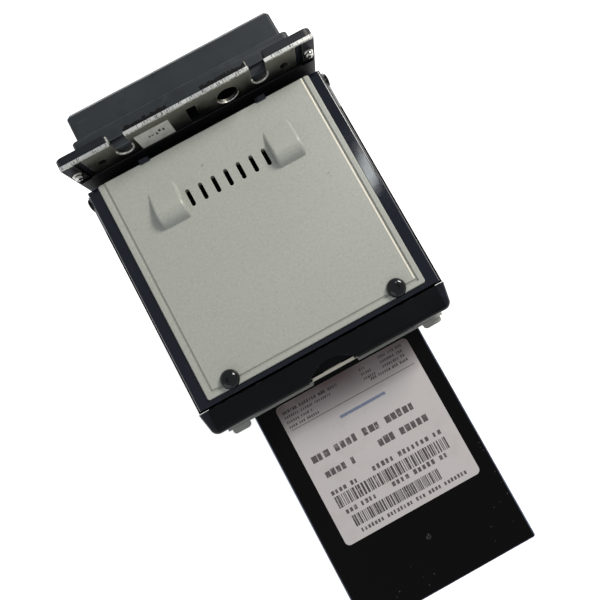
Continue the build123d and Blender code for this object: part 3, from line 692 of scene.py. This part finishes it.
def make_notch_lugs():
    """Small bent lugs that stand up at one side of each notch."""
    lugs = bmesh.new()
    for x, z_top in ((39.9, 276.9), (-31.2, 277.8)):
        low = (x - 0.3) * MM
        add_block(lugs, (low, -121.4 * MM, (z_top - 2.0) * MM), (low + 0.6 * MM, BRACKET_FRONT, z_top * MM))
    finish_piece("notch_lugs", lugs, "sheared_zinc", "chassis")


# ---- screws, rivets and springs ----

def screw_profile(radius, height):
    """A low pan head as (radius, height) points from its rim to its centre."""
    points = [(radius, 0.0), (radius, height * 0.35)]
    for k in range(1, 6):
        turn = math.pi / 2 * k / 6
        across = radius - radius * 0.35 * (1 - math.cos(turn))
        points.append((across, height * (0.35 + 0.65 * math.sin(turn))))
    return points + [(radius * 0.55, height), (0, height)]


def add_cross(target, centre, axis, size, depth):
    """Two crossed bars that show the driver recess, each reaching size from its centre."""
    centre, axis = Vector(centre), Vector(axis)
    first, second = across_of(axis)
    slim = 0.24  # a bar's width over its length
    for long, short in ((first, second), (second, first)):
        corners = []
        for level in (-depth, 0.02 * MM):
            for a, b in ((-1, -1), (1, -1), (1, 1), (-1, 1)):
                corner = centre + long * size * a + short * size * slim * b + axis * level
                corners.append(target.verts.new(corner))
        for face in ((0, 1, 2, 3), (4, 7, 6, 5), (0, 4, 5, 1), (1, 5, 6, 2), (2, 6, 7, 3), (3, 7, 4, 0)):
            target.faces.new([corners[i] for i in face])


def node_islands(name):
    """The box, as its low and high corners, of each separate solid of a CAD node."""
    mesh = nodes[name].data
    source = bmesh.new()
    source.from_mesh(mesh)
    bmesh.ops.remove_doubles(source, verts=source.verts, dist=1e-6)
    seen, boxes = set(), []
    for vert in source.verts:
        if vert in seen:
            continue
        stack, members = [vert], []
        seen.add(vert)
        while stack:
            v = stack.pop()
            members.append(v.co.copy())
            for edge in v.link_edges:
                other = edge.other_vert(v)
                if other not in seen:
                    seen.add(other)
                    stack.append(other)
        low = Vector([min(p[i] for p in members) for i in range(3)])
        high = Vector([max(p[i] for p in members) for i in range(3)])
        boxes.append((low, high))
    source.free()
    return boxes


def make_bracket_screws():
    """Plated screws with a washer, whose heads stand on the bracket's rear face."""
    heads, crosses = bmesh.new(), bmesh.new()
    for low, high in node_islands("bracket_screws"):
        centre = Vector(((low.x + high.x) / 2, BRACKET_REAR, (low.z + high.z) / 2))
        radius, height = (high.x - low.x) / 2, high.y - BRACKET_REAR
        washer = [(1.0, 0.0), (1.0, 0.2), (0.96, 0.28), (0.84, 0.3)]
        head = [(0.8, 0.36), (0.8, 0.62), (0.76, 0.8), (0.66, 0.93), (0.5, 1.0), (0, 1.0)]
        add_lathe(heads, centre, Y_AXIS, [(radius * r, height * h) for r, h in washer + head], 40)
        add_cross(crosses, centre + Y_AXIS * height, Y_AXIS, radius * 0.5, 0.4 * MM)
    obj = finish_piece("bracket_screw_heads", heads, "bright_screw", "chassis")
    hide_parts("bracket_screws")
    finish_piece("bracket_screw_recesses", crosses, "recess_black", "chassis")


def make_side_screws():
    """Pan heads on the outer faces of the side plates."""
    heads, crosses = bmesh.new(), bmesh.new()
    for low, high in node_islands("side_screws"):
        centre = (low + high) / 2
        outward = X_AXIS if centre.x > 0 else -X_AXIS
        base = Vector((low.x if centre.x > 0 else high.x, centre.y, centre.z))
        height = high.x - low.x - 0.02 * MM
        add_lathe(heads, base, outward, screw_profile((high.y - low.y) / 2, height), 32)
        add_cross(crosses, base + outward * height, outward, 1.5 * MM, 0.3 * MM)
    obj = finish_piece("side_screw_heads", heads, "bright_screw", "chassis")
    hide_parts("side_screws")
    finish_piece("side_screw_recesses", crosses, "recess_black", "chassis")


def make_hinge_pin_heads():
    """The head's hinge pins, with low round heads on the side plates."""
    pins = bmesh.new()
    radius, head_radius, head = 2.0 * MM, 3.4 * MM, 0.5 * MM
    for low, high in node_islands("hinge_pins"):
        centre = (low + high) / 2
        outward = X_AXIS if centre.x > 0 else -X_AXIS
        base = Vector((low.x if centre.x > 0 else high.x, centre.y, centre.z))
        plate = high.x - low.x - 0.6 * MM
        pin = [(0, 0.0), (radius, 0.0), (radius, plate)]
        cap = [(1.0, 0.0), (0.9, 0.7), (0.7, 1.0), (0, 1.0)]
        profile = pin + [(head_radius * r, plate + head * h) for r, h in cap]
        add_lathe(pins, base, outward, profile, 32)
    obj = finish_piece("hinge_pin_heads", pins, "black_screw", "chassis")
    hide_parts("hinge_pins")


def make_end_gap_shade():
    """Painted shade: dark blocks that fill the slit between the head's rails and the turn housing."""
    gap_blocks = bmesh.new()
    for sign in (-1, 1):
        inner, outer = sorted((sign * 57.0 * MM, sign * 65.3 * MM))
        add_block(gap_blocks, (inner, 6.1 * MM, 234 * MM), (outer, 8.6 * MM, 238.4 * MM))
    finish_piece("end_gap_shade", gap_blocks, "recess_black", "chassis")


def make_cassette_rivets():
    """Pop rivets down the cassette's rear and side edges and one on its top."""
    rivets = bmesh.new()
    dome = [(1.5, 0.0), (1.4, 0.35), (0.9, 0.6), (0.6, 0.55), (0, 0.4)]
    profile = [(r * MM, h * MM) for r, h in dome]
    add_lathe(rivets, (-1.1 * MM, 120.2 * MM, CASSETTE_TOP), Z_AXIS, profile, 28)
    for x in (-45, 45):
        for z in (14, 60, 170, 215):
            add_lathe(rivets, (x * MM, CASSETTE_REAR, z * MM), Y_AXIS, profile, 24)
    for sign in (-1, 1):
        for y in ((32, 82, 132) if sign < 0 else (132,)):
            for z in (13, 217):
                add_lathe(rivets, (sign * CASSETTE_HALF, y * MM, z * MM), X_AXIS * sign, profile, 24)
    finish_piece("cassette_rivets", rivets, "black_screw", "cassette")


def add_flake(target, centre, size, rng, level):
    """A small irregular patch, raised a little."""
    count = rng.randint(6, 9)
    turn = rng.uniform(0, math.pi)
    stretch = rng.uniform(1.0, 2.2)
    low, high = [], []
    for k in range(count):
        angle = 2 * math.pi * k / count
        radius = size * rng.uniform(0.65, 1.1)
        u, v = radius * stretch * math.cos(angle), radius * math.sin(angle)
        x = centre[0] + u * math.cos(turn) - v * math.sin(turn)
        y = centre[1] + u * math.sin(turn) + v * math.cos(turn)
        low.append(target.verts.new((x, y, level - 0.05 * MM)))
        high.append(target.verts.new((x, y, level + 0.02 * MM)))
    target.faces.new(high)
    target.faces.new(list(reversed(low)))
    for k in range(count):
        n = (k + 1) % count
        target.faces.new((low[k], low[n], high[n], high[k]))


def make_paint_chips():
    """Bare spots where the cassette's lid has been knocked, mostly near its rear edge."""
    rng = random.Random(21)
    chips = bmesh.new()
    for _ in range(14):
        x = rng.uniform(-44, 40) * MM
        y = (143 - abs(rng.gauss(0, 9.0))) * MM
        if y > 107 * MM:
            add_flake(chips, (x, y), rng.uniform(0.1, 0.26) * MM, rng, CASSETTE_TOP)
    for _ in range(7):
        add_flake(chips, (-47.8 * MM + rng.uniform(-0.5, 0.5) * MM, rng.uniform(88, 142) * MM),
                  rng.uniform(0.1, 0.26) * MM, rng, CASSETTE_TOP)
    finish_piece("paint_chips", chips, "bare_metal", "cassette")


def add_coil(target, low, high, wire, turns, sides):
    """Winds a coil along Y that fills the box between two corners."""
    radius = (high.x - low.x) / 2 - wire
    start = Vector(((low.x + high.x) / 2, low.y + wire, (low.z + high.z) / 2))
    add_tube(target, helix(start, Y_AXIS, radius, high.y - low.y - 2 * wire, turns), wire, sides)


def make_springs():
    """Wire coils in place of the CAD's closed tubes."""
    for index, (low, high) in enumerate(node_islands("pressure_springs")):
        coil = bmesh.new()
        add_coil(coil, low, high, 0.7 * MM, 11, 10)
        obj = finish_piece(f"pressure_spring_{index + 1}", coil, "spring_steel", "cassette")
        if index == 0:
            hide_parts("pressure_springs")
        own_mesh(obj)
    coil = bmesh.new()
    for low, high in node_islands("latch_springs"):
        add_coil(coil, low, high, 0.3 * MM, 6, 8)
    obj = finish_piece("latch_spring_coils", coil, "spring_steel", "latch")
    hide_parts("latch_springs")


# ---- camera, floor and light ----

def make_camera():
    data = bpy.data.cameras.new("camera")
    data.lens = 30.0
    data.sensor_width = 36.0
    data.shift_x = -0.0349
    data.shift_y = -0.003
    data.clip_start = 0.01
    camera = bpy.data.objects.new("camera", data)
    camera.location = (-0.00547, 0.00691, 0.49282)
    camera.rotation_euler = [math.radians(a) for a in (4.7345, 1.0967, 151.287)]
    scene.collection.objects.link(camera)
    scene.camera = camera


def make_floor():
    half = 4.0
    plane = bmesh.new()
    corners = ((-half, -half, 0), (half, -half, 0), (half, half, 0), (-half, half, 0))
    plane.faces.new([plane.verts.new(p) for p in corners])
    mesh = bpy.data.meshes.new("floor")
    plane.to_mesh(mesh)
    plane.free()
    floor = bpy.data.objects.new("floor", mesh)
    scene.collection.objects.link(floor)
    look = Look("floor", (0.86, 0.86, 0.86, 1), 0.9, specular=0.1)
    look.shader.inputs["Emission Color"].default_value = (1, 1, 1, 1)
    look.shader.inputs["Emission Strength"].default_value = 0.72
    mesh.materials.append(look.material)


def add_area(name, place, target, size, power, color=(1, 1, 1)):
    data = bpy.data.lights.new(name, "AREA")
    data.shape = "RECTANGLE"
    data.size, data.size_y = size
    data.energy = power
    data.color = color
    light = bpy.data.objects.new(name, data)
    light.location = place
    aim = Vector(target) - Vector(place)
    light.rotation_euler = aim.to_track_quat("-Z", "Y").to_euler()
    scene.collection.objects.link(light)


def make_light():
    world = bpy.data.worlds.new("studio")
    world.use_nodes = True
    background = world.node_tree.nodes["Background"]
    background.inputs["Color"].default_value = (0.93, 0.96, 1.0, 1)
    background.inputs["Strength"].default_value = 0.42
    scene.world = world
    add_area("key", (-0.68, -0.42, 0.88), (0, -0.02, 0.25), (0.3, 0.3), 8.4, (1.0, 0.96, 0.9))
    add_area("fill", (0.7, 0.5, 0.8), (0, 0, 0.2), (0.8, 0.8), 1.5, (0.95, 0.97, 1.0))
    add_area("glint", (-0.25, -0.27, 1.0), (-0.06, -0.05, 0.26), (0.04, 0.12), 0.22, (0.92, 0.98, 1.0))
    scene.view_settings.view_transform = "Standard"
    scene.view_settings.look = "None"


make_camera()
make_floor()
make_light()
dress_cad_nodes()
make_label_print()
make_bracket_sticker()
make_bracket_rims()
make_sheared_edges()
make_bracket_gap_shade()
make_notch_lugs()
make_bracket_screws()
make_side_screws()
make_hinge_pin_heads()
make_end_gap_shade()
make_cassette_rivets()
make_paint_chips()
make_springs()
